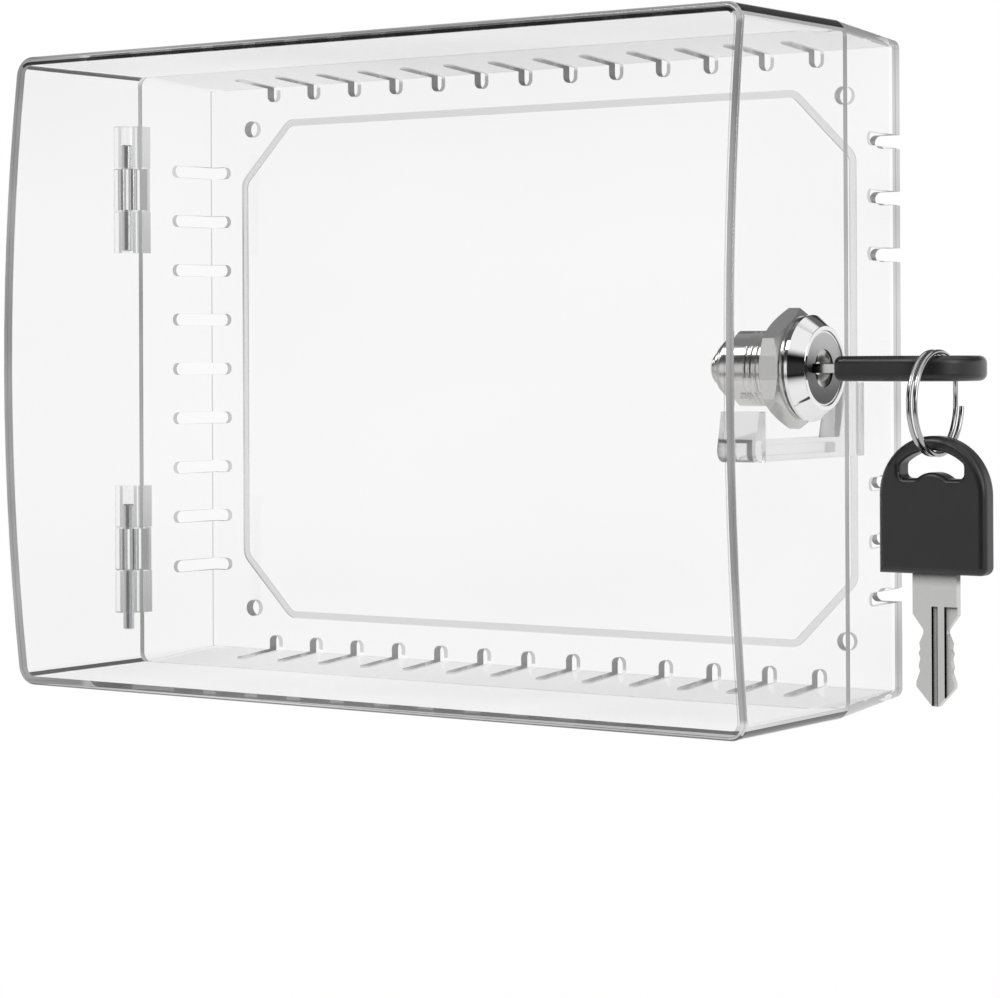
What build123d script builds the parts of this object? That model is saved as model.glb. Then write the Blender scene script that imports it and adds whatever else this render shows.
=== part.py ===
from build123d import *
import os
from math import cos, radians, sin, sqrt

# Clear lock box for a wall: a shallow tray screwed to the wall, a deep cover hinged on
# its left side, a cam lock in the cover's right side and two keys on a split ring.
# Millimetres, +Z up, +Y into the wall. The origin is the centre of the tray's back face,
# so the whole box stands on the -Y side of it.

# ---------------------------------------------------------------- driving dimensions

# Box
box_width = 235.0
box_height = 175.0
base_depth = 32.7  # wall to the joint plane
cover_depth = 50.5  # joint plane to the cover's top and bottom front edges
crown = 6.25  # how far the bowed front stands out at mid height
wall = 2.5
back_plate = 3.0
corner_radius = 5.0  # long edges, where two side walls meet
base_lean = 2.5  # how far each tray wall leans in towards the back
rim_gap = 0.3  # tray rim to cover rim
front_edge_radius = 1.2

# Slots that wrap the tray's back edges
slot_width = 3.5
slot_reach = 19.1  # along the wall, from the back face
row_toe = 3.8  # on to the back plate, from the wall's inner face, top and bottom
side_toe = 4.7  # the same at the two sides
row_count = 13  # along the top and the bottom
row_margin = 27.2  # last slot to the side of the box
side_count = 9  # up each side
side_margin = 29.1
latch_slots = 3  # left out beside the latch, on the right side

# Screw holes and the score line on the back plate
screw_hole_diameter = 4.8
screw_margin_x = 19.0
screw_margin_z = 16.5
score_margin_x = 15.5
score_margin_z = 14.2
score_chamfer = 17.6
score_corner = 5.0
score_width = 2.0
score_depth = 0.8

# Hinges, outside the left wall
hinge_margin = 35.0  # middle of each hinge to the top or bottom of the box
knuckle_length = 12.1
knuckle_gap = 0.35
knuckle_radius = 3.9
hinge_standoff = 4.7  # pin axis to the side of the box
web_reach = 4.9  # knuckle web along the wall, from the joint plane
notch_depth = 3.0  # in the tray's rim, behind the cover's knuckle
pin_radius = 1.6
pin_clearance = 0.05
pin_short = 5.4  # pin top below the top of its hinge
pin_proud = 5.0  # lower pin below the bottom of its hinge
pin_seat = 0.6  # upper pin's bottom above the bottom of its hinge

# Cam lock in the right wall
lock_setback = 19.3  # lock axis in front of the joint plane
lock_height = 0.4
bezel_diameter = 26.0
bezel_front_diameter = 20.6
bezel_height = 4.2
bezel_rim = 0.8  # straight part of the bezel, against the wall
cap_thickness = 0.6
barrel_diameter = 19.6
barrel_flats = 18.4  # across the flats, top and bottom
barrel_length = 19.2  # inside the wall's outer face
barrel_clearance = 0.2
plug_radius = 6.7
running_clearance = 0.08
flange_radius = 9.1
flange_thickness = 1.2
face_thickness = 0.6
face_recess = 0.4  # plug face below the bezel's front
dish_diameter = 9.3
dish_depth = 1.1
end_play = 0.15
tail_square = 7.0
square_clearance = 0.05
nut_flats = 25.6
nut_thickness = 5.2
nut_chamfer = 1.1
wall_washer_thickness = 0.8
wall_washer_diameter = 25.0
wafer_count = 6
wafer_pitch = 2.4
wafer_thickness = 1.1
wafer_width = 12.4
wafer_height = 4.6
wafer_ear = 1.2
spring_radius = 0.5
spring_length = 4.6
stop_washer_thickness = 0.9
stop_washer_diameter = 17.0
cam_thickness = 1.8
cam_width = 9.0
cam_hub_diameter = 14.0
cam_reach = 23.0  # lock axis to the cam's tip
cam_offset = 9.8  # the cam's tip stands this far outward of its root
cam_bend_start = 10.9  # where the cam leaves the root plane, from the lock axis
cam_bend_end = 16.4
cam_bend_radius = 1.6
cam_washer_thickness = 0.9
cam_washer_diameter = 12.4
screw_head_diameter = 8.0
screw_head_height = 2.6
screw_shank_diameter = 3.8
screw_shank_length = 3.2
screw_recess_width = 1.1
screw_recess_depth = 1.2

# Strike, bonded to the back plate: the cam's tip turns down behind its hook
strike_thickness = 6.0
strike_bar_height = 5.2
strike_hook_depth = 5.7
strike_hook_height = 12.4
strike_hook_extra = 2.7  # how much further outward the hook stands than the bar
strike_foot_height = 18.9
strike_foot_depth = 9.0
strike_slope = 4.0
strike_radius = 3.0
strike_lean = 2.6  # how far the hook's front leans back over its height
cam_side_gap = 1.1  # cam tip to the strike's bar
cam_hook_gap = 1.5  # cam tip to the hook, with the cam down
cam_top_gap = 1.3  # strike's bar below the cam's bend

# Keys
head_width = 27.8
head_length = 32.3
head_thickness = 6.0
head_corner = 2.0
head_edge = 1.8
hole_edge = 1.2
hole_half_width = 8.3
hole_bar = 3.4  # plastic between the hole and the round end
hole_height = 6.6
hole_rise = 3.2  # how much the hole's arc rises over its ends
hole_corner = 1.4
hole_bump_width = 7.9
hole_bump_height = 1.5
blade_thickness = 2.1
shoulder_width = 11.4
shoulder_length = 9.4
blade_width = 9.6
blade_cut_width = 8.0
blade_neck_width = 5.9
blade_reach = 21.5  # shoulder to tip
blade_groove_width = 1.6
blade_groove_depth = 0.5
blade_flat_width = 2.3
tang_width = 8.0
tang_length = 8.0
key_gap = 0.2  # shoulder to the plug's face
key_clearance = 0.1
keyway_spare = 0.8  # keyway deeper than the blade
mouth_depth = 1.4  # wider mouth of the keyway, for the slant of the shoulder

# Split ring
ring_diameter = 25.2
ring_wire = 1.2
ring_turn_gap = 0.42
ring_jog = 60.0  # degrees over which the wire crosses from one turn to the next
ring_cut = 4.0  # degrees between each wire end and the crossing
hang_gap = 0.3

# ---------------------------------------------------------------- places worked out

half_width = box_width / 2
half_height = box_height / 2
joint_y = -base_depth
back_half_width = half_width - base_lean
back_half_height = half_height - base_lean
lean_slope = base_lean / base_depth

hinge_x = -half_width - hinge_standoff
hinge_z = half_height - hinge_margin
hinge_length = 3 * knuckle_length + 2 * knuckle_gap
knuckle_step = knuckle_length + knuckle_gap

lock_y = joint_y - lock_setback
lock_plane = Plane(origin=(half_width, lock_y, lock_height), x_dir=(0, 1, 0), z_dir=(1, 0, 0))
lock_section = Plane(origin=(half_width, lock_y, lock_height), x_dir=(1, 0, 0), z_dir=(0, -1, 0))
lock_axis = Axis((half_width, lock_y, lock_height), (1, 0, 0))
barrel_radius = barrel_diameter / 2
bezel_radius = bezel_diameter / 2
bezel_front_radius = bezel_front_diameter / 2
face_x = bezel_height - face_recess  # plug face, from the wall's outer face
flange_x = face_x - face_thickness - flange_thickness
plug_end = -barrel_length - end_play
cam_x = plug_end - stop_washer_thickness - cam_thickness
tail_end = cam_x + square_clearance
cam_washer_x = cam_x - cam_washer_thickness
tip_inner_x = half_width + cam_x + cam_offset

key_root = face_x + key_gap + shoulder_length  # blade-to-head joint, from the wall's outer face
blade_tip = face_x + key_gap - blade_reach
head_radius = head_width / 2
hole_top = head_length - hole_bar
hole_floor = hole_top - hole_height
hole_side = hole_top - hole_rise

ring_radius = (ring_diameter - ring_wire) / 2
ring_inner = ring_radius - ring_wire / 2
ring_pitch = ring_wire + ring_turn_gap
ring_half = (ring_pitch + ring_wire) / 2
ring_along = hole_floor + hole_bump_height + 0.2 + ring_half  # ring plane, from the key's root
ring_x = half_width + key_root + ring_along
rim_outer = sqrt(head_radius**2 - (ring_along - head_length + head_radius) ** 2)
rim_mid = (rim_outer + hole_half_width - 0.5) / 2
ring_y = lock_y - rim_mid
ring_z = lock_height + head_thickness / 2 + hang_gap - ring_inner
spare_root_z = ring_z - ring_inner + hang_gap - hole_top
spare_root_z += ring_inner - sqrt(ring_inner**2 - (head_thickness / 2 - hole_edge) ** 2)

key_planes = {
    "key": Plane(origin=(half_width + key_root, lock_y, lock_height), x_dir=(0, -1, 0), z_dir=(0, 0, 1)),
    "spare_key": Plane(origin=(ring_x, ring_y, spare_root_z), x_dir=(1, 0, 0), z_dir=(0, -1, 0)),
}

os.makedirs("parts", exist_ok=True)


def box_outline(inset, depth):
    """The tray's rounded outline at a depth from the back face, inset from its outer skin."""
    grow = lean_slope * depth
    RectangleRounded(
        2 * (back_half_width + grow - inset),
        2 * (back_half_height + grow - inset),
        max(corner_radius - base_lean + grow - inset, 0.2),
    )


# ---------------------------------------------------------------- base tray

with BuildPart() as base_tray:
    # Leaning walls: one loft for the outside, one for the hollow
    with BuildSketch(Plane.XZ):
        box_outline(0, 0)
    with BuildSketch(Plane.XZ.offset(base_depth)):
        box_outline(0, base_depth)
    loft()
    with BuildSketch(Plane.XZ.offset(back_plate)):
        box_outline(wall, back_plate)
    with BuildSketch(Plane.XZ.offset(base_depth)):
        box_outline(wall, base_depth)
    loft(mode=Mode.SUBTRACT)

    # Slots: the part of each that runs along a wall
    row_pitch = (box_width - 2 * row_margin) / (row_count - 1)
    side_pitch = (box_height - 2 * side_margin) / (side_count - 1)
    slot_length = slot_reach + slot_width
    slot_middle = slot_length / 2 - slot_reach
    top_inner = back_half_height - wall
    side_inner = back_half_width - wall
    left_places = [(slot_middle, (i - (side_count - 1) / 2) * side_pitch) for i in range(side_count)]
    latch_half = latch_slots * side_pitch / 2
    right_places = [place for place in left_places if abs(place[1]) > latch_half]
    for side in (1, -1):
        with BuildSketch(Plane.XY.offset(side * top_inner)):
            with Locations((0, slot_middle)):
                with GridLocations(row_pitch, 0, row_count, 1):
                    SlotOverall(slot_length, slot_width, rotation=90)
        extrude(amount=side * (wall + base_lean + 1), mode=Mode.SUBTRACT)
    for side, places in ((-1, left_places), (1, right_places)):
        with BuildSketch(Plane.YZ.offset(side * side_inner)):
            with Locations(*places):
                SlotOverall(slot_length, slot_width)
        extrude(amount=side * (wall + base_lean + 1), mode=Mode.SUBTRACT)

    # Slots: the toe of each on the back plate, and the four screw holes
    toe_run = wall + base_lean + slot_width  # from the wall's inner face to past its outer skin
    row_middle = (toe_run - row_toe) / 2
    side_middle = (toe_run - side_toe) / 2
    with BuildSketch(Plane.XZ):
        for side in (1, -1):
            with Locations((0, side * (top_inner + row_middle))):
                with GridLocations(row_pitch, 0, row_count, 1):
                    SlotOverall(toe_run + row_toe, slot_width, rotation=90)
        for side, places in ((-1, left_places), (1, right_places)):
            with Locations(*[(side * (side_inner + side_middle), place[1]) for place in places]):
                SlotOverall(toe_run + side_toe, slot_width)
        with GridLocations(2 * (half_width - screw_margin_x), 2 * (half_height - screw_margin_z), 2, 2):
            Circle(screw_hole_diameter / 2)
    extrude(amount=back_plate, mode=Mode.SUBTRACT)

    # Score line: an eight-sided groove inside the screw holes
    with BuildSketch(Plane.XZ.offset(back_plate)) as score:
        Rectangle(2 * (half_width - score_margin_x), 2 * (half_height - score_margin_z))
        chamfer(score.vertices(), length=score_chamfer)
        fillet(score.vertices(), radius=score_corner)
        offset(amount=-score_width, kind=Kind.INTERSECTION, mode=Mode.SUBTRACT)
    extrude(amount=-score_depth, mode=Mode.SUBTRACT)

    # Hinges: two knuckles each, with a notch in the rim between them for the cover's knuckle
    for middle in (hinge_z, -hinge_z):
        for step in (-knuckle_step, knuckle_step):
            with BuildSketch(Plane.XY.offset(middle + step - knuckle_length / 2)):
                with Locations((hinge_x, joint_y)):
                    Circle(knuckle_radius)
                with BuildLine():
                    Polyline(
                        (hinge_x, joint_y),
                        (hinge_x, joint_y + knuckle_radius),
                        (-half_width + 0.6 * wall, joint_y + web_reach),
                        (-half_width + 0.6 * wall, joint_y),
                        close=True,
                    )
                make_face()
            extrude(amount=knuckle_length)
        with BuildSketch(Plane.XY.offset(middle - knuckle_length / 2 - knuckle_gap)):
            with Locations((-half_width, joint_y)):
                Rectangle(4 * wall, 2 * notch_depth)
        extrude(amount=knuckle_length + 2 * knuckle_gap, mode=Mode.SUBTRACT)
        with BuildSketch(Plane.XY.offset(middle - hinge_length / 2)):
            with Locations((hinge_x, joint_y)):
                Circle(pin_radius + pin_clearance)
        extrude(amount=hinge_length, mode=Mode.SUBTRACT)

base_tray.part.label = "base_tray"
export_step(base_tray.part, "parts/base_tray.step")

# ---------------------------------------------------------------- strike bracket

strike_outer = tip_inner_x - cam_side_gap
strike_inner = strike_outer - strike_thickness
bar_top = lock_height - cam_bend_end - cam_top_gap
bar_bottom = bar_top - strike_bar_height
hook_back = lock_y - cam_width / 2 - cam_hook_gap
hook_front = hook_back - strike_hook_depth
hook_top = bar_bottom + strike_hook_height
foot_top = bar_bottom + strike_foot_height

with BuildPart() as strike_bracket:
    # Bar with an upright at each end, seen along X
    with BuildSketch(Plane.YZ.offset(strike_inner)):
        with BuildLine():
            Polyline(
                (-back_plate, bar_bottom),
                (hook_front, bar_bottom),
                (hook_front + strike_lean, hook_top),
                (hook_back, hook_top),
                (hook_back, bar_top),
                (-back_plate - strike_foot_depth - strike_slope, bar_top),
                (-back_plate - strike_foot_depth, foot_top),
                (-back_plate, foot_top),
                close=True,
            )
        make_face()
    extrude(amount=strike_thickness)
    # The hook stands further out, in the way of the cam's tip
    with BuildSketch(Plane.YZ.offset(strike_outer)):
        with BuildLine():
            Polyline(
                (hook_front, bar_bottom),
                (hook_front + strike_lean, hook_top),
                (hook_back, hook_top),
                (hook_back, bar_bottom),
                close=True,
            )
        make_face()
    extrude(amount=strike_hook_extra)
    fillet(strike_bracket.edges().filter_by(Axis.X).group_by(Axis.Y)[0], radius=strike_radius)
    # Cored out from the inner side, as a moulding is
    with BuildSketch(Plane.YZ.offset(strike_inner)):
        with Locations(((hook_back - back_plate - strike_foot_depth) / 2, (bar_top + bar_bottom) / 2)):
            Rectangle(
                -hook_back - back_plate - strike_foot_depth - 2 * strike_slope,
                strike_bar_height / 2,
            )
    extrude(amount=strike_thickness / 2, mode=Mode.SUBTRACT)

strike_bracket.part.label = "strike_bracket"
export_step(strike_bracket.part, "parts/strike_bracket.step")

# ---------------------------------------------------------------- hinge pins

with BuildPart() as hinge_pin_upper:
    with BuildSketch(Plane.XY.offset(hinge_z - hinge_length / 2 + pin_seat)):
        with Locations((hinge_x, joint_y)):
            Circle(pin_radius)
    extrude(amount=hinge_length - pin_short - pin_seat)
    chamfer(hinge_pin_upper.edges().filter_by(GeomType.CIRCLE), length=pin_radius / 5)

hinge_pin_upper.part.label = "hinge_pin_upper"
export_step(hinge_pin_upper.part, "parts/hinge_pin_upper.step")

with BuildPart() as hinge_pin_lower:
    with BuildSketch(Plane.XY.offset(-hinge_z - hinge_length / 2 - pin_proud)):
        with Locations((hinge_x, joint_y)):
            Circle(pin_radius)
    extrude(amount=hinge_length - pin_short + pin_proud)
    chamfer(hinge_pin_lower.edges().filter_by(GeomType.CIRCLE), length=pin_radius / 5)

hinge_pin_lower.part.label = "hinge_pin_lower"
export_step(hinge_pin_lower.part, "parts/hinge_pin_lower.step")

# ---------------------------------------------------------------- cover

front_y = joint_y - cover_depth  # top and bottom front edges
front_radius = (half_height**2 + crown**2) / (2 * crown)

with BuildPart() as cover:
    # Rounded outline of the box, then the bowed front as part of a large drum
    with BuildSketch(Plane.XZ.offset(base_depth + rim_gap)):
        RectangleRounded(box_width, box_height, corner_radius)
    extrude(amount=cover_depth + 2 * crown)
    with BuildSketch(Plane.YZ.offset(-box_width)):
        with Locations((front_y - crown + front_radius, 0)):
            Circle(front_radius)
    extrude(amount=2 * box_width, mode=Mode.INTERSECT)
    offset(amount=-wall, openings=cover.faces().sort_by(Axis.Y)[-1])
    bowed_front = cover.faces().filter_by(GeomType.CYLINDER).sort_by(SortBy.AREA)[-1]
    fillet(bowed_front.edges(), radius=min(front_edge_radius, 0.8 * wall))

    # One knuckle for each hinge, webbed to the left wall and into the tray's notch
    for middle in (hinge_z, -hinge_z):
        with BuildSketch(Plane.XY.offset(middle - knuckle_length / 2)):
            with Locations((hinge_x, joint_y)):
                Circle(knuckle_radius)
            with BuildLine():
                Polyline(
                    (hinge_x, joint_y - knuckle_radius),
                    (-half_width + 0.8 * wall, joint_y - web_reach),
                    (-half_width + 0.8 * wall, joint_y + notch_depth - rim_gap),
                    (hinge_x, joint_y + notch_depth - rim_gap),
                    close=True,
                )
            make_face()
        extrude(amount=knuckle_length)
        with BuildSketch(Plane.XY.offset(middle - knuckle_length / 2)):
            with Locations((hinge_x, joint_y)):
                Circle(pin_radius + pin_clearance)
        extrude(amount=knuckle_length, mode=Mode.SUBTRACT)

    # Flatted hole for the lock
    with BuildSketch(lock_plane):
        Circle(barrel_radius + barrel_clearance)
        Rectangle(2 * barrel_diameter, barrel_flats + 2 * barrel_clearance, mode=Mode.INTERSECT)
    extrude(amount=-2 * wall, mode=Mode.SUBTRACT)

cover.part.label = "cover"
export_step(cover.part, "parts/cover.step")

# ---------------------------------------------------------------- lock: fixed pieces

with BuildPart() as lock_body:
    # Head under the chrome cap, turned with its cone
    with BuildSketch(lock_section):
        with BuildLine():
            Polyline(
                (0, 0),
                (0, bezel_radius - cap_thickness - pin_clearance),
                (bezel_rim, bezel_radius - cap_thickness - pin_clearance),
                (face_x - pin_clearance, bezel_front_radius - cap_thickness),
                (face_x - pin_clearance, 0),
                close=True,
            )
        make_face()
    revolve(axis=lock_axis)
    # Barrel with two flats
    with BuildSketch(lock_plane):
        Circle(barrel_radius)
        Rectangle(2 * barrel_diameter, barrel_flats, mode=Mode.INTERSECT)
    extrude(amount=-barrel_length)
    # Bore for the plug and a counterbore for its flange
    with BuildSketch(lock_plane.offset(-barrel_length)):
        Circle(plug_radius + running_clearance)
    extrude(amount=barrel_length + bezel_height, mode=Mode.SUBTRACT)
    with BuildSketch(lock_plane.offset(flange_x - end_play)):
        Circle(flange_radius + running_clearance)
    extrude(amount=bezel_height, mode=Mode.SUBTRACT)

lock_body.part.label = "lock_body"
export_step(lock_body.part, "parts/lock_body.step")

with BuildPart() as lock_face_cap:
    with BuildSketch(lock_section):
        with BuildLine():
            Polyline(
                (0, bezel_radius - cap_thickness),
                (0, bezel_radius),
                (bezel_rim, bezel_radius),
                (bezel_height, bezel_front_radius),
                (bezel_height, flange_radius + 2 * running_clearance),
                (face_x, flange_radius + 2 * running_clearance),
                (face_x, bezel_front_radius - cap_thickness + pin_clearance),
                (bezel_rim, bezel_radius - cap_thickness),
                close=True,
            )
        make_face()
    revolve(axis=lock_axis)
    rim_edges = lock_face_cap.edges().filter_by(GeomType.CIRCLE).group_by(Axis.X)[-1]
    fillet(rim_edges.sort_by(SortBy.LENGTH)[-1], radius=face_recess / 2)

lock_face_cap.part.label = "lock_face_cap"
export_step(lock_face_cap.part, "parts/lock_face_cap.step")

with BuildPart() as wall_washer:
    with BuildSketch(lock_plane.offset(-wall - wall_washer_thickness)):
        Circle(wall_washer_diameter / 2)
        with BuildSketch(mode=Mode.SUBTRACT):
            Circle(barrel_radius + pin_clearance)
            Rectangle(2 * barrel_diameter, barrel_flats + 2 * pin_clearance, mode=Mode.INTERSECT)
    extrude(amount=wall_washer_thickness)

wall_washer.part.label = "wall_washer"
export_step(wall_washer.part, "parts/wall_washer.step")

nut_x = -wall - wall_washer_thickness - nut_thickness
nut_corner_radius = nut_flats / sqrt(3)

with BuildPart() as mounting_nut:
    with BuildSketch(lock_plane.offset(nut_x)):
        RegularPolygon(nut_flats / 2, 6, major_radius=False, rotation=30)
        Circle(barrel_radius + pin_clearance, mode=Mode.SUBTRACT)
    extrude(amount=nut_thickness)
    # Both faces turned off at the corners
    with BuildSketch(lock_section):
        with BuildLine():
            Polyline(
                (nut_x, 0),
                (nut_x, nut_corner_radius - 1.8 * nut_chamfer),
                (nut_x + nut_chamfer, nut_corner_radius),
                (nut_x + nut_thickness - nut_chamfer, nut_corner_radius),
                (nut_x + nut_thickness, nut_corner_radius - 1.8 * nut_chamfer),
                (nut_x + nut_thickness, 0),
                close=True,
            )
        make_face()
    revolve(axis=lock_axis, mode=Mode.INTERSECT)

mounting_nut.part.label = "mounting_nut"
export_step(mounting_nut.part, "parts/mounting_nut.step")

# ---------------------------------------------------------------- lock: turning pieces

keyway_width = blade_width + 2 * key_clearance
keyway_height = blade_thickness + 2 * key_clearance
mouth_width = shoulder_width + 2 * key_clearance
wafer_first = face_x - 5.0
wafer_places = [wafer_first - i * wafer_pitch for i in range(wafer_count)]
spring_y = wafer_height / 2 + spring_radius + 0.15

with BuildPart() as lock_plug:
    with BuildSketch(lock_plane.offset(plug_end)):
        Circle(plug_radius)
    extrude(amount=flange_x - plug_end)
    with BuildSketch(lock_plane.offset(flange_x)):
        Circle(flange_radius)
    extrude(amount=flange_thickness)
    # Square tail for the cam, tapped for its screw
    with BuildSketch(lock_plane.offset(tail_end)):
        Rectangle(tail_square, tail_square)
    extrude(amount=plug_end - tail_end)
    with BuildSketch(lock_plane.offset(tail_end)):
        Circle(screw_shank_diameter / 2 + pin_clearance)
    extrude(amount=screw_shank_length, mode=Mode.SUBTRACT)
    # Dished front and the keyway
    with BuildSketch(lock_section):
        with BuildLine():
            Polyline(
                (flange_x + flange_thickness, 0),
                (flange_x + flange_thickness, dish_diameter / 2),
                (flange_x + flange_thickness - dish_depth, dish_diameter / 6),
                (flange_x + flange_thickness - dish_depth, 0),
                close=True,
            )
        make_face()
    revolve(axis=lock_axis, mode=Mode.SUBTRACT)
    with BuildSketch(lock_plane.offset(blade_tip - keyway_spare)):
        Rectangle(keyway_width, keyway_height)
    extrude(amount=bezel_height - blade_tip + keyway_spare, mode=Mode.SUBTRACT)
    with BuildSketch(lock_plane.offset(face_x - mouth_depth)):
        Rectangle(mouth_width, keyway_height)
    extrude(amount=mouth_depth, mode=Mode.SUBTRACT)
    # Wafer slots, each with a pocket for the wafer's ear and spring
    for place in wafer_places:
        with BuildSketch(lock_plane.offset(place - pin_clearance)):
            Rectangle(3 * plug_radius, wafer_height + 2 * pin_clearance)
            with Locations((0, wafer_height / 2)):
                Rectangle(
                    spring_length + 2 * wafer_ear,
                    4 * spring_radius + 0.6,
                )
        extrude(amount=wafer_thickness + 2 * pin_clearance, mode=Mode.SUBTRACT)

lock_plug.part.label = "lock_plug"
export_step(lock_plug.part, "parts/lock_plug.step")

with BuildPart() as plug_face:
    with BuildSketch(lock_plane.offset(face_x - face_thickness)):
        Circle(flange_radius)
        Circle(dish_diameter / 2, mode=Mode.SUBTRACT)
        Rectangle(mouth_width, keyway_height, mode=Mode.SUBTRACT)
    extrude(amount=face_thickness)

plug_face.part.label = "plug_face"
export_step(plug_face.part, "parts/plug_face.step")

with BuildPart() as wafers:
    for place in wafer_places:
        with BuildSketch(lock_plane.offset(place)):
            Rectangle(wafer_width, wafer_height)
            with Locations((-spring_length / 2 - wafer_ear / 2, wafer_height / 2 + spring_radius)):
                Rectangle(wafer_ear, 2 * spring_radius + 0.2)
            Rectangle(keyway_width, keyway_height, mode=Mode.SUBTRACT)
        extrude(amount=wafer_thickness)

wafers.part.label = "wafers"
export_step(wafers.part, "parts/wafers.step")

with BuildPart() as wafer_springs:
    for place in wafer_places:
        spring_plane = Plane(
            origin=lock_plane.from_local_coords((-spring_length / 2, spring_y, place + wafer_thickness / 2)),
            z_dir=(0, 1, 0),
        )
        with BuildSketch(spring_plane):
            Circle(spring_radius)
        extrude(amount=spring_length)

wafer_springs.part.label = "wafer_springs"
export_step(wafer_springs.part, "parts/wafer_springs.step")

with BuildPart() as stop_washer:
    with BuildSketch(lock_plane.offset(plug_end - stop_washer_thickness)):
        Circle(stop_washer_diameter / 2)
        Rectangle(
            tail_square + 2 * square_clearance,
            tail_square + 2 * square_clearance,
            mode=Mode.SUBTRACT,
        )
    extrude(amount=stop_washer_thickness)

stop_washer.part.label = "stop_washer"
export_step(stop_washer.part, "parts/stop_washer.step")

# The cam points at the wall while the box is unlocked
cam_middle_x = half_width + cam_x + cam_thickness / 2

with BuildPart() as lock_cam:
    # Bent strip, seen from above
    with BuildSketch(Plane.XY.offset(lock_height)):
        with BuildLine():
            FilletPolyline(
                (cam_middle_x, lock_y - cam_hub_diameter / 2),
                (cam_middle_x, lock_y + cam_bend_start),
                (cam_middle_x + cam_offset, lock_y + cam_bend_end),
                (cam_middle_x + cam_offset, lock_y + cam_reach),
                radius=cam_bend_radius,
            )
        trace(line_width=cam_thickness)
    extrude(amount=cam_hub_diameter / 2, both=True)
    # Round hub and tip and the square hole, seen along the lock's axis
    with BuildSketch(lock_plane.offset(cam_x - cam_thickness)):
        Circle(cam_hub_diameter / 2)
        with Locations(((cam_reach - cam_width / 2) / 2, 0)):
            SlotOverall(cam_reach + cam_width / 2, cam_width)
    extrude(amount=cam_offset + 4 * cam_thickness, mode=Mode.INTERSECT)
    with BuildSketch(lock_plane.offset(cam_x - cam_thickness)):
        Rectangle(tail_square + 2 * square_clearance, tail_square + 2 * square_clearance)
    extrude(amount=3 * cam_thickness, mode=Mode.SUBTRACT)

lock_cam.part.label = "lock_cam"
export_step(lock_cam.part, "parts/lock_cam.step")

with BuildPart() as cam_washer:
    with BuildSketch(lock_plane.offset(cam_washer_x)):
        Circle(cam_washer_diameter / 2)
        Circle(screw_shank_diameter / 2 + pin_clearance, mode=Mode.SUBTRACT)
    extrude(amount=cam_washer_thickness)

cam_washer.part.label = "cam_washer"
export_step(cam_washer.part, "parts/cam_washer.step")

with BuildPart() as cam_screw:
    with BuildSketch(lock_plane.offset(cam_washer_x - screw_head_height)):
        Circle(screw_head_diameter / 2)
    extrude(amount=screw_head_height)
    chamfer(cam_screw.edges().group_by(Axis.X)[0], length=screw_head_height / 5)
    with BuildSketch(lock_plane.offset(cam_washer_x)):
        Circle(screw_shank_diameter / 2)
    extrude(amount=screw_shank_length)
    # Cross recess
    with BuildSketch(lock_plane.offset(cam_washer_x - screw_head_height)):
        Rectangle(0.55 * screw_head_diameter, screw_recess_width)
        Rectangle(screw_recess_width, 0.55 * screw_head_diameter)
    extrude(amount=screw_recess_depth, mode=Mode.SUBTRACT)

cam_screw.part.label = "cam_screw"
export_step(cam_screw.part, "parts/cam_screw.step")

# ---------------------------------------------------------------- keys

# Half outline of the blade, from the shoulder to the tip: how far down the blade, and how
# wide it is there. The small steps are the cuts that lift the wafers.
neck_start = 3.6
blade_steps = [
    (neck_start, blade_neck_width),
    (neck_start + 0.9, blade_neck_width),
    (neck_start + 3.2, blade_cut_width),
    (neck_start + 4.6, blade_cut_width - 0.5),
    (neck_start + 5.6, blade_cut_width + 0.4),
    (neck_start + 6.7, blade_cut_width - 0.5),
    (neck_start + 8.6, blade_cut_width + 0.4),
    (neck_start + 9.8, blade_cut_width - 0.3),
    (neck_start + 12.3, blade_width),
    (neck_start + 13.4, blade_width),
    (blade_reach, 1.4),
]

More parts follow.
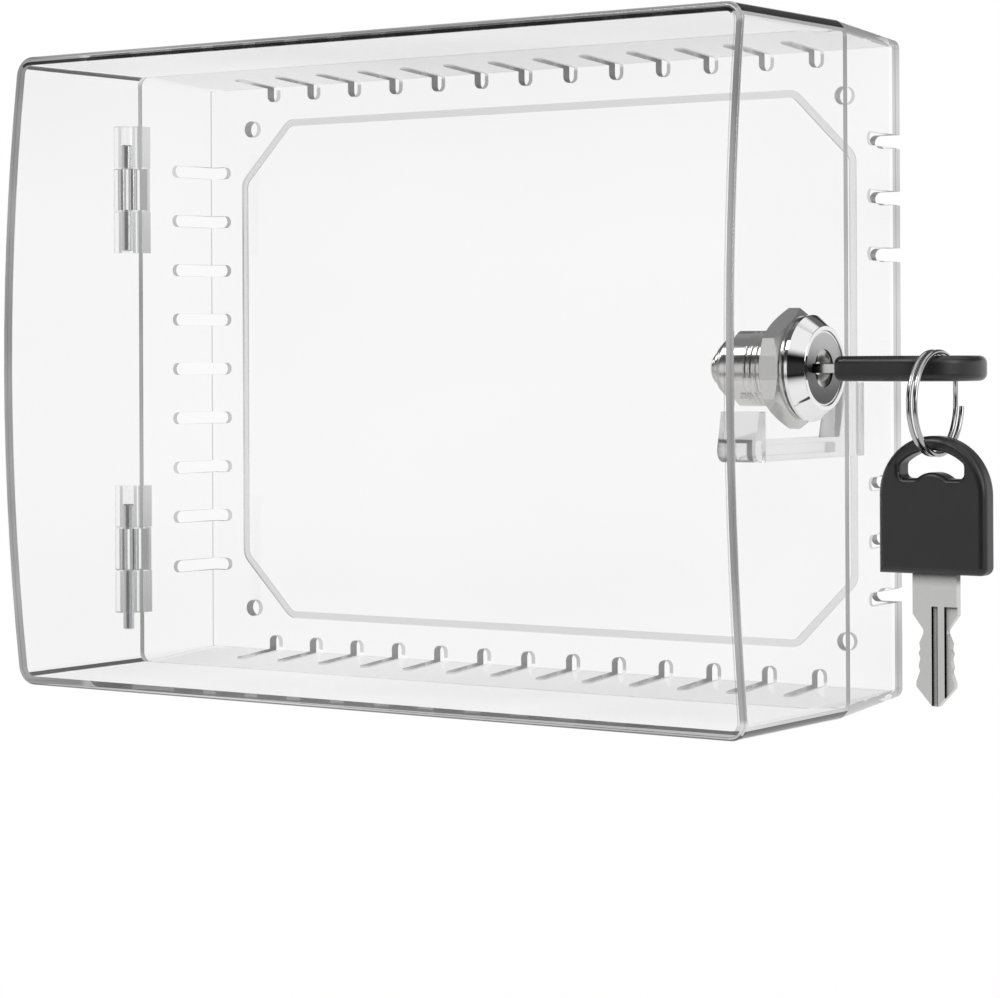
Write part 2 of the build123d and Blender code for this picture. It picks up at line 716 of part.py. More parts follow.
for name, plane in key_planes.items():
    with BuildPart() as blade:
        # Shoulder, cuts and point, the same on both edges
        with BuildSketch(plane):
            with BuildLine():
                outline = [(shoulder_width / 2, 0), (shoulder_width / 2, -shoulder_length)]
                outline += [(width / 2, -shoulder_length - down) for down, width in blade_steps]
                Polyline(*outline, *[(-x, y) for x, y in reversed(outline)], close=True)
            make_face()
            with Locations((0, tang_length / 2)):
                Rectangle(tang_width, tang_length)
        extrude(amount=blade_thickness / 2, both=True)
        # A groove down the middle and a flat along one edge, milled on the front face
        groove_length = shoulder_length / 5 + blade_reach
        with BuildSketch(plane.offset(blade_thickness / 2)):
            with Locations((0, -shoulder_length - blade_reach + groove_length / 2)):
                Rectangle(blade_groove_width, groove_length)
            with Locations((blade_width / 2, -shoulder_length - blade_reach + groove_length / 2)):
                Rectangle(2 * blade_flat_width, groove_length)
        extrude(amount=-blade_groove_depth, mode=Mode.SUBTRACT)

    blade.part.label = name + "_blade"
    export_step(blade.part, "parts/" + name + "_blade.step")

    with BuildPart() as head:
        # D-shaped grip with a round end
        with BuildSketch(plane.offset(-head_thickness / 2)) as grip:
            with Locations((0, head_length - head_radius)):
                Circle(head_radius)
            with Locations((0, (head_length - head_radius) / 2)):
                Rectangle(head_width, head_length - head_radius)
            fillet(grip.vertices().sort_by_distance(plane.origin)[:2], radius=head_corner)
        extrude(amount=head_thickness)
        fillet(head.faces().filter_by(plane).edges(), radius=head_edge)
        # Hole for the ring: an arc over a flat with a low bump
        with BuildSketch(plane.offset(-head_thickness / 2)) as eye:
            with BuildLine():
                ThreePointArc((-hole_half_width, hole_side), (0, hole_top), (hole_half_width, hole_side))
                Polyline(
                    (hole_half_width, hole_side),
                    (hole_half_width, hole_floor),
                    (hole_bump_width / 2, hole_floor),
                )
                ThreePointArc(
                    (hole_bump_width / 2, hole_floor),
                    (0, hole_floor + hole_bump_height),
                    (-hole_bump_width / 2, hole_floor),
                )
                Polyline(
                    (-hole_bump_width / 2, hole_floor),
                    (-hole_half_width, hole_floor),
                    (-hole_half_width, hole_side),
                )
            make_face()
            fillet(eye.vertices(), radius=hole_corner)
        extrude(amount=head_thickness, mode=Mode.SUBTRACT)
        eye_wires = [wire for flat in head.faces().filter_by(plane) for wire in flat.inner_wires()]
        fillet([edge for wire in eye_wires for edge in wire.edges()], radius=hole_edge)
        # Pocket that the blade's tang is moulded into
        with BuildSketch(plane):
            Rectangle(
                tang_width + 2 * pin_clearance,
                tang_length + pin_clearance,
                align=(Align.CENTER, Align.MIN),
            )
        extrude(amount=blade_thickness / 2 + pin_clearance, both=True, mode=Mode.SUBTRACT)

    head.part.label = name + "_head"
    export_step(head.part, "parts/" + name + "_head.step")

# ---------------------------------------------------------------- split ring


def ring_point(angle, side):
    """A point on the wire's centre line, in the left or the right of the two turns."""
    turn = radians(angle)
    return Vector(
        ring_x + side * ring_pitch / 2,
        ring_y + ring_radius * cos(turn),
        ring_z + ring_radius * sin(turn),
    )


def ring_tangent(angle):
    """The direction of travel along a turn."""
    turn = radians(angle)
    return Vector(0, -sin(turn), cos(turn))


def biarc(start, start_tangent, end, end_tangent):
    """Two arcs from start to end, tangent to each other and to both end directions."""
    span = end - start
    both = start_tangent + end_tangent
    spread = 2 * (1 - start_tangent.dot(end_tangent))
    reach = (sqrt(span.dot(both) ** 2 + spread * span.dot(span)) - span.dot(both)) / spread
    leave = start + start_tangent * reach
    arrive = end - end_tangent * reach
    meet = (leave + arrive) / 2
    TangentArc(start, meet, tangent=start_tangent)
    TangentArc(meet, end, tangent=(arrive - leave).normalized())


# Two flat turns, joined by one crossing. The crossing is on the far side of the ring.
jog_start = 60.0 - ring_jog
jog_end = jog_start + ring_jog
first_angles = [jog_end + ring_cut + i * (360 - ring_jog - ring_cut) / 4 for i in range(5)]
last_angles = [jog_end + i * (360 - ring_jog - ring_cut) / 4 for i in range(5)]

with BuildPart() as key_ring:
    with BuildLine() as ring_path:
        for start, end in zip(first_angles, first_angles[1:]):
            ThreePointArc(ring_point(start, -1), ring_point((start + end) / 2, -1), ring_point(end, -1))
        biarc(
            ring_point(jog_start, -1),
            ring_tangent(jog_start),
            ring_point(jog_end, 1),
            ring_tangent(jog_end),
        )
        for start, end in zip(last_angles, last_angles[1:]):
            ThreePointArc(ring_point(start, 1), ring_point((start + end) / 2, 1), ring_point(end, 1))
    with BuildSketch(Plane(origin=ring_path.wires()[0] @ 0, z_dir=ring_path.wires()[0] % 0)):
        Circle(ring_wire / 2)
    sweep(path=ring_path.wires()[0])

key_ring.part.label = "key_ring"
export_step(key_ring.part, "parts/key_ring.step")

# Closest that the wire comes to itself, on points 3 degrees apart round the two turns
ring_line = ring_path.wires()[0]
sample_count = 240
samples = [ring_line @ (i / sample_count) for i in range(sample_count + 1)]
skip = int(sample_count / 6)
closest = min(
    (samples[i] - samples[j]).length
    for i in range(len(samples))
    for j in range(i + skip, len(samples))
)
print("key_ring: least gap between turns", round(closest - ring_wire, 2), "mm")
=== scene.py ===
from math import asin, cos, pi, radians, sin, tau

import bmesh
import bpy
from mathutils import Matrix, Vector


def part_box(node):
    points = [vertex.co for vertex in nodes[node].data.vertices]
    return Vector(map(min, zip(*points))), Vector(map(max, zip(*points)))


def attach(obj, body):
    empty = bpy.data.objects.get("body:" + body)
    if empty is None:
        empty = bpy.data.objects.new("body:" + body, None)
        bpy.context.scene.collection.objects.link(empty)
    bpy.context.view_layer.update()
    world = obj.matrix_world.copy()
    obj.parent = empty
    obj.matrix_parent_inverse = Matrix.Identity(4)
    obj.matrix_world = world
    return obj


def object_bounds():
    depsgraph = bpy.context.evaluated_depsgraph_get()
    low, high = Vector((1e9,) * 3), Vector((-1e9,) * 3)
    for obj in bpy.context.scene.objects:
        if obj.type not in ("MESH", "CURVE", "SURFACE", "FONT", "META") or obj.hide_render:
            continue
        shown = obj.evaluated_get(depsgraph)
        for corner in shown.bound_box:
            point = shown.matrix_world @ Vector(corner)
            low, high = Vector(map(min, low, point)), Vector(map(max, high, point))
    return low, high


# Looks of a clear lock box: glass-clear plastic shells, a nickel and chrome cam lock with a
# threaded barrel, and two black-headed keys on a split ring. Metres, in the part's frame.

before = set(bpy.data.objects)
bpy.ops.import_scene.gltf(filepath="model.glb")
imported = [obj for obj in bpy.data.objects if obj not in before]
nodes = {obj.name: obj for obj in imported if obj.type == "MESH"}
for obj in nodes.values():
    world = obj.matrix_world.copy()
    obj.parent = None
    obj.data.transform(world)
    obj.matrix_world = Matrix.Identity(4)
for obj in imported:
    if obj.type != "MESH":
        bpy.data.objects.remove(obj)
cad_low, cad_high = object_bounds()

# Lock, whose axis runs along X through the middle of the nut
nut_low, nut_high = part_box("mounting_nut")
LOCK_Y = (nut_low[1] + nut_high[1]) / 2
LOCK_Z = (nut_low[2] + nut_high[2]) / 2
FACE_RIM = 0.0087  # radius where the lock's face turns bright
BARREL_FLAT = 0.0092  # from the axis to the barrel's flats
THREAD_ROOT = 0.0096
THREAD_CREST = 0.0101
THREAD_PITCH = 0.0015
THREAD_TURNS = 4
THREAD_STEPS = 20
# The thread's profile: each corner's place along the axis, in pitches, and its radius
THREAD_PROFILE = (
    (-0.46, THREAD_ROOT),
    (-0.08, THREAD_CREST),
    (0.08, THREAD_CREST),
    (0.46, THREAD_ROOT),
)

# Cover's outline, seen from the front, and the plane where it meets the tray
COVER_HALF_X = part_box("cover")[1][0]
COVER_HALF_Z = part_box("cover")[1][2]
COVER_CORNER = 0.005
COVER_FRONT = 0.078  # the front's surface is further out than this
WALL_INNER = 0.085  # inner face of its top and bottom walls
WALL_FADE = 0.003  # over this height, the glow of the side walls turns into theirs
WALL_END = 0.0026  # height of those walls' ends, seen from the side
OUTER_SKIN = 0.004  # points deeper inside the outline aren't on the outer side
JOINT_PLANE = 0.0327
JOINT_RIM = 0.0006  # half the thickness of the lines at the joint

# Tray
BACK_PLATE = 0.003
BACK_LINE = 0.0004  # width of the line where the walls rise from the back plate
SCORE_FLOOR = (0.0021, 0.0023)  # between these, the floor of the score line
ROW_HEIGHT = 0.077  # slots further up or down than this are in the top and bottom rows
ROW_REACH = 0.111  # and these rows end within this distance from the middle
ROW_INNER = 0.0823  # inner face of the top and bottom walls, at the back
SIDE_START = 0.104  # the side slots lie further out than this
SIDE_INNER = 0.1122  # inner face of the side walls, at the back
SLOT_DEPTH = 0.0215  # how far forward the slots reach
# The slots' sides are painted dark as shade, and fade over this distance to this share
SLOT_FADE = (0.003, 0.014)  # their sides grow paler from here to here
SLOT_PALE = 0.4
SCREW_X = 0.0985
SCREW_Z = 0.071
SCREW_RADIUS = 0.003

# Brightness of the painted glow, an emission that stands in for the light that runs on inside the
# plastic, in side walls and in top and bottom walls
COVER_GLOW = (0.34, 0.60)
TRAY_GLOW = (0.56, 0.45)
BACK_GLOW = 1.8  # and in the back plate, as a share of that

# Painted shade: dark lines painted inside the front's edge, where refraction makes an edge look
# dark. From which depth to which, and the share of light that each takes
OUTSIDE = -1.0  # further out than any point
TOP_LINES = ((OUTSIDE, 0.0008, 0.5), (0.0015, 0.0024, 0.9))
BOTTOM_LINES = ((OUTSIDE, 0.0005, 0.8),)
SIDE_LINES = ((OUTSIDE, 0.0005, 0.2), (0.0018, 0.0022, 0.25))
# The shares of painted shade taken by the upper and lower walls' ends, and by the painted lines at
# the joint and the back
UPPER_END = 0.95
LOWER_END = 0.93
RIM_LINE = 0.45

# Camera and studio
CAMERA_PLACE = Vector((0.48167, -0.70245, 0.00529))
CAMERA_YAW = radians(35.06)
CAMERA_TILT = radians(90.20)
CAMERA_ROLL = radians(-0.26)
CAMERA_LENS = 109.64  # mm on the default 36 mm sensor
CAMERA_SHIFT = -0.16
FLOOR_DROP = 0.35  # floor below the middle of the object
FLOOR_SIZE = 6.0
FLOOR_SHADOW = (0.3, 0.9)  # distances between which the shadow on it fades out
FLOOR_WHITE = 0.7  # share of plain white nearer than that
FLOOR_FADE = (0.5, 1.6)  # distances between which it fades out of reflections
STRIP_LEVEL = 0.9  # bright strip on the right
FLAG_DARKNESS = 0.85
# Metal behind the plastic loses this share of the light from above and below the horizon, and
# keeps these shares of the soft boxes
INNER_DIM = 0.7
INNER_ABOVE = 0.12
INNER_BELOW = 0.35

HALF = 0.5  # tells 0 from 1 in a ray's counts


def grey(level):
    return (level, level, level, 1)


class Tree:
    """A node tree that is built one node at a time."""

    def __init__(self, tree):
        self.tree = tree
        tree.nodes.clear()

    def add(self, kind, inputs=None, **settings):
        """A node, with its settings and the values or links of its inputs."""
        node = self.tree.nodes.new(kind)
        for name, value in settings.items():
            setattr(node, name, value)
        for name, value in (inputs or {}).items():
            if isinstance(value, bpy.types.NodeSocket):
                self.tree.links.new(value, node.inputs[name])
            else:
                node.inputs[name].default_value = value
        return node

    def math(self, operation, a, b=0.0):
        return self.add("ShaderNodeMath", {0: a, 1: b}, operation=operation).outputs[0]

    def above(self, value, limit):
        """1 where the value is above the limit, and 0 elsewhere."""
        return self.math("GREATER_THAN", value, limit)

    def under(self, value, limit):
        """1 where the value is under the limit, and 0 elsewhere."""
        return self.math("LESS_THAN", value, limit)

    def between(self, value, low, high):
        """1 where the value lies between low and high, and 0 elsewhere."""
        return self.product(self.above(value, low), self.under(value, high))

    def product(self, *values):
        """All the values multiplied. Of masks, 1 where every one is 1."""
        result = values[0]
        for value in values[1:]:
            result = self.math("MULTIPLY", result, value)
        return result

    def highest(self, *values):
        """The highest of the values. Of masks, 1 where any one is 1."""
        result = values[0]
        for value in values[1:]:
            result = self.math("MAXIMUM", result, value)
        return result

    def rest(self, value):
        """What the value leaves of 1."""
        return self.math("SUBTRACT", 1.0, value)

    def shade(self, *marks):
        """What is left of the light after each mask has taken its share."""
        return self.product(*[self.rest(self.product(mask, share)) for mask, share in marks])

    def parts(self, vector):
        """The X, Y and Z of a vector."""
        return self.add("ShaderNodeSeparateXYZ", {0: vector}).outputs

    def sizes(self, vector):
        """The X, Y and Z of a vector, without their signs."""
        return [self.math("ABSOLUTE", part) for part in self.parts(vector)]

    def length(self, x, y):
        """The length of a vector with these two parts."""
        vector = self.add("ShaderNodeCombineXYZ", {0: x, 1: y}).outputs[0]
        return self.add("ShaderNodeVectorMath", {0: vector}, operation="LENGTH").outputs["Value"]

    def smooth(self, value, low, high, start=0.0, end=1.0):
        """The value mapped from low..high on to start..end, with soft ends."""
        ranges = {"Value": value, "From Min": low, "From Max": high, "To Min": start, "To Max": end}
        return self.add("ShaderNodeMapRange", ranges, interpolation_type="SMOOTHSTEP").outputs[0]

    def blend(self, share, first, second):
        """A number between the first and the second."""
        inputs = {0: share, 2: first, 3: second}
        return self.add("ShaderNodeMix", inputs, data_type="FLOAT").outputs[0]

    def mix(self, share, first, second):
        """A colour between the first and the second."""
        inputs = {0: share, 6: first, 7: second}
        return self.add("ShaderNodeMix", inputs, data_type="RGBA").outputs[2]

    def scale(self, colour, factor):
        """The colour made brighter or darker."""
        inputs = {0: colour, 3: factor}
        return self.add("ShaderNodeVectorMath", inputs, operation="SCALE").outputs[0]

    def mix_shader(self, share, first, second):
        return self.add("ShaderNodeMixShader", {0: share, 1: first, 2: second}).outputs[0]


# ---------------------------------------------------------------- camera and studio


def make_camera():
    """The photograph's viewpoint: low, well to the right, with a long lens."""
    data = bpy.data.cameras.new("camera")
    data.lens = CAMERA_LENS
    data.shift_y = CAMERA_SHIFT
    camera = bpy.data.objects.new("camera", data)
    bpy.context.collection.objects.link(camera)
    turn = Matrix.Rotation(CAMERA_YAW, 4, "Z") @ Matrix.Rotation(CAMERA_TILT, 4, "X")
    turn = turn @ Matrix.Rotation(CAMERA_ROLL, 4, "Z")
    camera.matrix_world = Matrix.Translation(CAMERA_PLACE) @ turn
    bpy.context.scene.camera = camera


def make_world():
    """White to the eye, and a studio of soft boxes and dark flags to reflections."""
    world = bpy.data.worlds.new("studio")
    bpy.context.scene.world = world
    world.use_nodes = True
    t = Tree(world.node_tree)
    across, along, height = t.parts(t.add("ShaderNodeTexCoord").outputs["Generated"])
    steepness = t.math("ABSOLUTE", height)
    # Round the horizon: bright behind and to the left, dark on the right of the viewer's side
    front = t.product(
        t.smooth(across, -0.40, 0.10, 0.70, 0.03),
        t.smooth(steepness, 0.10, 0.30, 1.25, 0.25),
    )
    band = t.blend(t.smooth(along, -0.20, 0.45), front, 1.0)
    strip = t.product(t.smooth(across, 0.80, 0.88), t.smooth(across, 0.99, 0.94))
    level = t.highest(band, t.product(strip, STRIP_LEVEL))
    # A dark flag above the back, then soft boxes straight above and below
    flag = t.product(
        t.smooth(height, 0.25, 0.35),
        t.smooth(height, 0.80, 0.70),
        t.smooth(along, 0.2, 0.4),
    )
    level = t.product(level, t.shade((flag, FLAG_DARKNESS)))
    above = t.product(t.smooth(height, 0.35, 0.60), t.smooth(along, 0.35, 0.15))
    below = t.smooth(height, -0.30, -0.50)
    # Metal behind the plastic sees less of all this
    rays = t.add("ShaderNodeLightPath").outputs
    inner = t.product(rays["Is Reflection Ray"], t.above(rays["Transparent Depth"], HALF))
    dim = t.smooth(steepness, 0.15, 0.40, 0.0, INNER_DIM)
    level = t.product(level, t.shade((inner, dim)))
    above = t.product(above, t.smooth(inner, 0.0, 1.0, 1.0, INNER_ABOVE))
    below = t.product(below, t.smooth(inner, 0.0, 1.0, 1.0, INNER_BELOW))
    studio = t.highest(level, above, below)
    # Seen straight or through the plastic, the background is white
    through = t.product(rays["Is Transmission Ray"], t.under(rays["Glossy Depth"], HALF))
    direct = t.highest(rays["Is Camera Ray"], through)
    seen = t.blend(direct, studio, 1.0)
    background = t.add("ShaderNodeBackground", {"Color": grey(1), "Strength": seen})
    t.add("ShaderNodeOutputWorld", {"Surface": background.outputs[0]})


def make_lamp(name, place, target, size, power):
    """A soft box that faces the target."""
    data = bpy.data.lights.new(name, "AREA")
    data.shape = "RECTANGLE"
    data.size, data.size_y = size
    data.energy = power
    lamp = bpy.data.objects.new(name, data)
    bpy.context.collection.objects.link(lamp)
    lamp.location = place
    lamp.rotation_euler = (Vector(target) - Vector(place)).to_track_quat("-Z", "Y").to_euler()


def make_floor():
    """A pale floor well below the object, white to the eye."""
    mesh = bpy.data.meshes.new("floor")
    half = FLOOR_SIZE / 2
    corners = [(-half, -half, 0), (half, -half, 0), (half, half, 0), (-half, half, 0)]
    mesh.from_pydata(corners, [], [(0, 1, 2, 3)])
    floor = bpy.data.objects.new("floor", mesh)
    floor.location.z = (cad_low.z + cad_high.z) / 2 - FLOOR_DROP
    bpy.context.collection.objects.link(floor)
    material, t = new_material("floor")
    rays = t.add("ShaderNodeLightPath").outputs
    seen = t.highest(rays["Is Camera Ray"], rays["Is Transmission Ray"], rays["Is Glossy Ray"])
    # White to the eye, with the object's shadow near it; to reflections it fades into the studio
    place = t.add("ShaderNodeTexCoord").outputs["Object"]
    away = t.add("ShaderNodeVectorMath", {0: place}, operation="LENGTH").outputs["Value"]
    white = t.add("ShaderNodeEmission", {"Color": grey(1), "Strength": 1.0}).outputs[0]
    pale = t.add("ShaderNodeBsdfDiffuse", {"Color": grey(0.85)}).outputs[0]
    share = t.product(seen, t.smooth(away, *FLOOR_SHADOW, FLOOR_WHITE, 1.0))
    surface = t.mix_shader(share, pale, white)
    clear = t.add("ShaderNodeBsdfTransparent").outputs[0]
    fade = t.product(rays["Is Reflection Ray"], t.smooth(away, *FLOOR_FADE))
    t.add("ShaderNodeOutputMaterial", {"Surface": t.mix_shader(fade, surface, clear)})
    mesh.materials.append(material)


# ---------------------------------------------------------------- materials


def new_material(name):
    material = bpy.data.materials.new(name)
    material.use_nodes = True
    return material, Tree(material.node_tree)


def noise(t, scale, stretch=(1, 1, 1), detail=2.0, rough=0.5):
    """Noise by the point's place on the object, stretched."""
    place = t.add("ShaderNodeTexCoord").outputs["Object"]
    place = t.add("ShaderNodeMapping", {"Vector": place, "Scale": stretch}).outputs[0]
    inputs = {"Vector": place, "Scale": scale, "Detail": detail, "Roughness": rough}
    return t.add("ShaderNodeTexNoise", inputs).outputs[0]


def bump(t, height, strength, distance):
    inputs = {"Height": height, "Strength": strength, "Distance": distance}
    return t.add("ShaderNodeBump", inputs).outputs[0]


def tray_marks(t):
    """Where the tray isn't polished, and where its colour is darkened as painted shade: its score
    line's floor, and its slots and screw holes.
    """
    coordinates = t.add("ShaderNodeTexCoord").outputs
    x, y, z = t.sizes(coordinates["Object"])
    facing_x, facing_y, facing_z = t.sizes(coordinates["Normal"])
    score = t.product(t.between(y, *SCORE_FLOOR), t.above(facing_y, 0.9))
    row_area = t.product(t.above(z, ROW_HEIGHT), t.under(x, ROW_REACH))
    side_area = t.product(t.under(z, ROW_HEIGHT), t.above(x, SIDE_START))
    rows = t.product(t.above(facing_x, 0.3), row_area)
    sides = t.product(t.above(facing_z, 0.3), side_area)
    # The slots' round ends and the screw holes, through the back plate, are painted dark as shade
    row_ends = t.product(row_area, t.under(z, ROW_INNER))
    side_ends = t.product(side_area, t.under(x, SIDE_INNER))
    from_screw = t.length(t.math("SUBTRACT", x, SCREW_X), t.math("SUBTRACT", z, SCREW_Z))
    holes = t.highest(t.under(from_screw, SCREW_RADIUS), row_ends, side_ends)
    holes = t.product(holes, t.under(facing_y, 0.5), t.under(y, BACK_PLATE))
    # Painted shade: the sides are painted darkest next to the back, and this painted shade doesn't
    # show in the walls' own reflections
    near_back = t.under(y, SLOT_DEPTH)
    fade = t.smooth(y, *SLOT_FADE, 1.0, SLOT_PALE)
    direct = t.under(t.add("ShaderNodeLightPath").outputs["Glossy Depth"], HALF)
    slots = t.product(t.highest(rows, sides), near_back, fade, direct)
    return score, t.highest(slots, t.product(holes, 0.9))


def painted_edge_shade(t):
    """Painted shade: how much light passes the dark lines painted on a clear moulding, at its edges
    and at its rims by the joint and the back.
    """
    coordinates = t.add("ShaderNodeTexCoord").outputs
    upper = t.above(t.parts(coordinates["Object"])[2], 0.0)
    lower = t.rest(upper)
    x, y, z = t.sizes(coordinates["Object"])
    facing_x, facing_y, _ = t.sizes(coordinates["Normal"])
    # How deep the point lies inside the rounded outline
    side = t.math("SUBTRACT", x, COVER_HALF_X - COVER_CORNER)
    top = t.math("SUBTRACT", z, COVER_HALF_Z - COVER_CORNER)
    outside = t.length(t.highest(side, 0.0), t.highest(top, 0.0))
    inside = t.math("MINIMUM", t.highest(side, top), 0.0)
    depth = t.math("SUBTRACT", COVER_CORNER, t.math("ADD", outside, inside))
    level = t.above(top, side)
    front = t.above(y, COVER_FRONT)
    flat = t.above(facing_y, 0.6)
    # The ends of the cover's top and bottom walls, seen from its sides
    outer_side = t.product(t.under(facing_y, 0.4), t.under(depth, OUTER_SKIN))
    end = t.product(
        outer_side,
        t.above(z, COVER_HALF_Z - WALL_END),
        t.above(facing_x, 0.5),
        t.above(y, JOINT_PLANE),
    )
    rim = t.product(flat, t.between(y, JOINT_PLANE - JOINT_RIM, JOINT_PLANE + JOINT_RIM))
    # Where the back plate meets the tray's walls, on their outer side: a painted dark line
    back = t.product(outer_side, t.between(y, BACK_PLATE - BACK_LINE, BACK_PLATE))
    marks = [
        (t.product(end, upper), UPPER_END),
        (t.product(end, lower), LOWER_END),
        (rim, RIM_LINE),
        (back, RIM_LINE),
    ]
    for area, lines in (
        (t.product(front, flat, level, upper), TOP_LINES),
        (t.product(front, t.above(facing_y, 0.15), level, lower), BOTTOM_LINES),
        (t.product(front, flat, t.rest(level)), SIDE_LINES),
    ):
        marks += [(t.product(area, t.between(depth, *line[:2])), line[2]) for line in lines]
    return t.shade(*marks)


def clear_plastic(name, tray=False):
    """Polished clear polycarbonate with the faint ripple of a moulding. Its edges carry painted
    dark lines, and its walls carry a painted glow that is seen from inside.
    """
    material, t = new_material(name)
    rough = t.smooth(noise(t, 30.0, (1, 1, 3), 3.0), 0.35, 0.8, 0.0, 0.02)
    # Painted shade: the edges' painted dark lines become the colour that light passes through
    tint = t.math("POWER", painted_edge_shade(t), 2.0)  # a surface tints light by its colour's square root
    if tray:
        score, slots = tray_marks(t)
        # Painted shade: the score line's floor and the slots and holes are darkened. Their added
        # roughness is the tray's own
        tint = t.mix(score, tint, grey(0.6))
        tint = t.mix(slots, tint, grey(0.12))
        rough = t.math("ADD", rough, t.product(t.highest(score, slots), 0.35))
    polished = t.add("ShaderNodeBsdfPrincipled", {
        "Base Color": tint,
        "Roughness": rough,
        "IOR": 1.5,
        "Transmission Weight": 1.0,
        "Normal": bump(t, noise(t, 14.0, detail=1.0), 0.04, 0.002),
    }).outputs[0]
    # Painted light: a glow that only reflections inside a wall see. It stands in for the light that
    # runs on inside the wall, which makes the mouldings' edges grey
    rays = t.add("ShaderNodeLightPath").outputs
    inside = t.add("ShaderNodeNewGeometry").outputs["Backfacing"]
    first = t.rest(t.above(rays["Transparent Depth"], HALF))
    guided = t.product(rays["Is Reflection Ray"], inside, first)
    x, y, z = t.sizes(t.add("ShaderNodeTexCoord").outputs["Object"])
    cloud = t.smooth(noise(t, 9.0, (1, 1, 2)), 0.3, 0.7, 0.7, 1.3)
    wall = t.smooth(z, WALL_INNER - WALL_FADE, WALL_INNER, *(TRAY_GLOW if tray else COVER_GLOW))
    near_edge = t.highest(t.above(x, SIDE_INNER), t.above(z, ROW_INNER))
    plate = t.smooth(t.product(near_edge, t.under(y, BACK_PLATE)), 0.0, 1.0, 1.0, BACK_GLOW)
    strength = t.product(cloud, wall, plate)
    painted_glow = t.add("ShaderNodeEmission", {"Color": grey(1), "Strength": strength}).outputs[0]
    surface = t.mix_shader(guided, polished, painted_glow)
    # What other surfaces reflect lies beyond the plastic, which has no mirror image of its own
    skipped = t.math("SUBTRACT", rays["Is Reflection Ray"], guided)
    clear = t.add("ShaderNodeBsdfTransparent").outputs[0]
    surface = t.mix_shader(skipped, surface, clear)
    fog = t.add("ShaderNodeVolumeAbsorption", {"Color": (0.84, 0.845, 0.85, 1), "Density": 16.0})
    t.add("ShaderNodeOutputMaterial", {"Surface": surface, "Volume": fog.outputs[0]})
    return material


def frosted_plastic(name):
    """Milky plastic that lets light through but no picture."""
    material, t = new_material(name)
    shader = t.add("ShaderNodeBsdfPrincipled", {
        "Base Color": (0.97, 0.97, 0.975, 1),
        "Roughness": t.smooth(noise(t, 90.0, detail=3.0), 0.3, 0.7, 0.08, 0.16),
        "IOR": 1.49,
        "Transmission Weight": 0.9,
        "Normal": bump(t, noise(t, 500.0), 0.15, 0.0002),
    })
    t.add("ShaderNodeOutputMaterial", {"Surface": shader.outputs[0]})
    return material


def metal(name, colour, rough, grain=(1, 1, 1), spread=0.05, dents=0.02, tone=0.05,
          rim=None, grooves=None):
    """A plated or brushed metal. The grain is stretched noise in its roughness and height.

    rim is a radius about the lock's axis, past which the metal is bright and polished. Inside it,
    the metal is painted paler towards the top and darker towards the bottom: a painted highlight
    and painted shade. grooves is the reach of the ambient occlusion that darkens a hollow as
    painted shade.
    """
    material, t = new_material(name)
    streak = noise(t, 900.0, grain, 4.0, 0.6)
    dark = (*[(1 - tone) * part for part in colour], 1)
    pale = (*[min(1.0, (1 + tone) * part) for part in colour], 1)
    shade = t.mix(noise(t, 60.0), dark, pale)
    if rim:
        _, y, z = t.parts(t.add("ShaderNodeTexCoord").outputs["Object"])
        rise = t.math("SUBTRACT", z, LOCK_Z)
        radius = t.length(t.math("SUBTRACT", y, LOCK_Y), rise)
        # Painted highlight and painted shade: paler towards the top, darker towards the bottom
        shade = t.scale(shade, t.smooth(rise, -rim, rim, 0.4, 2.3))
        shade = t.mix(t.above(radius, rim), shade, grey(0.85))
    if grooves:
        # Painted shade: the hollows are darkened by ambient occlusion
        hollow = t.add("ShaderNodeAmbientOcclusion", {"Distance": grooves}, samples=8)
        shade = t.scale(shade, t.smooth(hollow.outputs["AO"], 0.78, 0.98, 0.15, 1.0))
    shader = t.add("ShaderNodeBsdfPrincipled", {
        "Base Color": shade,
        "Metallic": 1.0,
        "Roughness": t.smooth(streak, 0.3, 0.7, rough, rough + spread),
        "Normal": bump(t, streak, dents, 0.0001),
    })
    t.add("ShaderNodeOutputMaterial", {"Surface": shader.outputs[0]})
    return material


def moulded_black(name):
    """Satin black plastic with a fine moulded grain."""
    material, t = new_material(name)
    shader = t.add("ShaderNodeBsdfPrincipled", {
        "Base Color": (0.016, 0.016, 0.017, 1),
        "Roughness": t.smooth(noise(t, 120.0, detail=4.0), 0.3, 0.7, 0.28, 0.38),
        "IOR": 1.5,
        "Normal": bump(t, noise(t, 2600.0, detail=3.0), 0.18, 0.0001),
    })
    t.add("ShaderNodeOutputMaterial", {"Surface": shader.outputs[0]})
    return material


def paint(material, *names):
    """Gives the named nodes this material."""
    for name in names:
        slots = nodes[name].data.materials
        slots.clear()
        slots.append(material)


# ---------------------------------------------------------------- small pieces


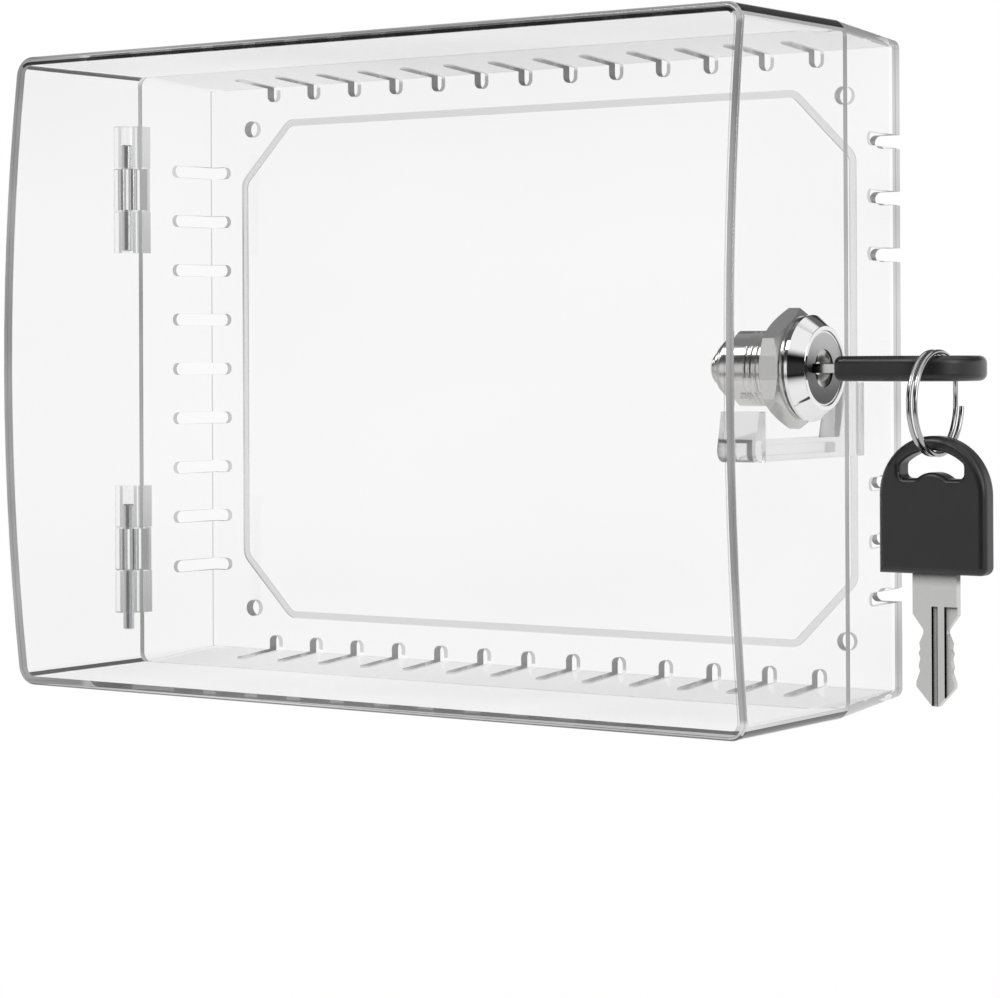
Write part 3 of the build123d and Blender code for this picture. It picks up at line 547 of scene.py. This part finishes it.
def make_thread():
    """The thread next to the nut, on the barrel's two round sides. The flats between are bare."""
    bm = bmesh.new()
    half = asin(BARREL_FLAT / THREAD_CREST)
    for index in range(2 * THREAD_TURNS):
        rings = []
        for step in range(THREAD_STEPS + 1):
            angle = index * pi + half * (2 * step / THREAD_STEPS - 1)
            x = nut_low[0] - THREAD_PITCH * (angle + pi) / tau
            rings.append([
                bm.verts.new((
                    x + along * THREAD_PITCH,
                    LOCK_Y + reach * cos(angle),
                    LOCK_Z + reach * sin(angle),
                ))
                for along, reach in THREAD_PROFILE
            ])
        for first, second in zip(rings, rings[1:]):
            for i in range(len(THREAD_PROFILE)):
                after = (i + 1) % len(THREAD_PROFILE)
                bm.faces.new((first[i], first[after], second[after], second[i]))
        bm.faces.new(rings[0][::-1])
        bm.faces.new(rings[-1])
    bmesh.ops.recalc_face_normals(bm, faces=bm.faces)
    mesh = bpy.data.meshes.new("barrel_thread")
    bm.to_mesh(mesh)
    bm.free()
    thread = bpy.data.objects.new("barrel_thread", mesh)
    bpy.context.collection.objects.link(thread)
    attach(thread, "cover")
    return thread


# ---------------------------------------------------------------- making

make_camera()
make_world()
make_floor()
make_lamp("key_light", (-0.5, -1.2, 1.3), (0, 0, 0), (0.9, 0.6), 9.0)
make_lamp("side_light", (1.4, -0.3, 0.5), (0.1, 0, 0), (0.5, 0.9), 5.0)

paint(clear_plastic("clear_plastic"), "cover")
paint(clear_plastic("tray_plastic", tray=True), "base_tray")
paint(frosted_plastic("frosted_plastic"), "strike_bracket")
pin_steel = metal("pin_steel", (0.55, 0.56, 0.57), 0.22, (1, 1, 12))
paint(pin_steel, "hinge_pin_upper", "hinge_pin_lower")
nickel = metal("lock_nickel", (0.66, 0.65, 0.64), 0.12)
paint(nickel, "lock_body", "lock_plug")
make_thread().data.materials.append(nickel)
chrome = metal("bezel_chrome", (0.84, 0.84, 0.84), 0.04, spread=0.02, dents=0.004, tone=0.01)
paint(chrome, "lock_face_cap")
nut_steel = metal("nut_steel", (0.60, 0.60, 0.59), 0.18, spread=0.03, dents=0.004, tone=0.01)
paint(nut_steel, "mounting_nut", "wall_washer", "stop_washer", "cam_washer")
paint(metal("face_steel", (0.22, 0.22, 0.22), 0.30, (40, 1, 1), rim=FACE_RIM), "plug_face")
paint(metal("wafer_brass", (0.72, 0.56, 0.30), 0.25), "wafers")
paint(metal("spring_steel", (0.5, 0.5, 0.5), 0.25), "wafer_springs")
paint(metal("cam_steel", (0.55, 0.55, 0.54), 0.30, dents=0.1), "lock_cam", "cam_screw")
blade_nickel = metal("blade_nickel", (0.62, 0.62, 0.61), 0.18, (1, 1, 14), grooves=0.003)
paint(blade_nickel, "key_blade", "spare_key_blade")
paint(moulded_black("head_black"), "key_head", "spare_key_head")
paint(metal("ring_chrome", (0.45, 0.45, 0.45), 0.06, tone=0.01), "key_ring")

bpy.context.scene.view_settings.view_transform = "Standard"
